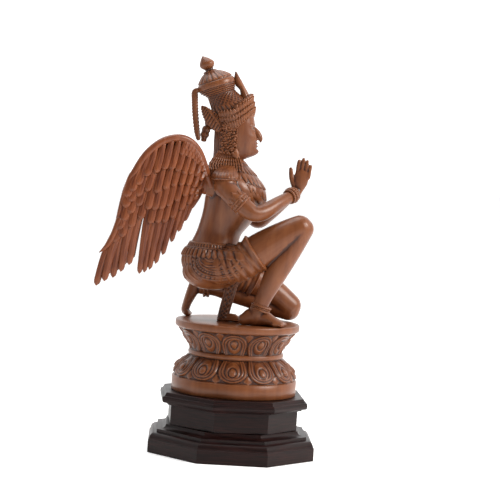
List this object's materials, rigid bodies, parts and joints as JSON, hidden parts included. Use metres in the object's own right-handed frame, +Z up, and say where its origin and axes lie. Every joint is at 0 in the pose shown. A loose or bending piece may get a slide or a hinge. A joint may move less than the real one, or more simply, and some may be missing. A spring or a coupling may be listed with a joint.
{
  "type": "wooden garuda statue",
  "caption": "Carved wooden kneeling garuda with folded hands and swept-back wings, on a double lotus pedestal and a dark stepped octagonal plinth.",
  "frame": {"origin": "centre of the plinth's underside", "axes": "+Z up; the figure faces -Y; its left hand is at +X"},
  "size_m": [0.2548, 0.3506, 0.6101],
  "materials": {
    "carved_wood": "polished mid reddish-brown hardwood, semi-gloss, darker in the recesses",
    "wing_wood": "the same polished hardwood, slightly redder",
    "plinth_wood": "black-brown stained wood, semi-gloss, with fine dark-red horizontal grain"
  },
  "bodies": {
    "root": {"statue": "carved_wood", "wing_right": "wing_wood", "wing_left": "wing_wood", "plinth_cap": "plinth_wood", "plinth_riser": "plinth_wood", "plinth_foot": "plinth_wood"}
  },
  "joints": []
}
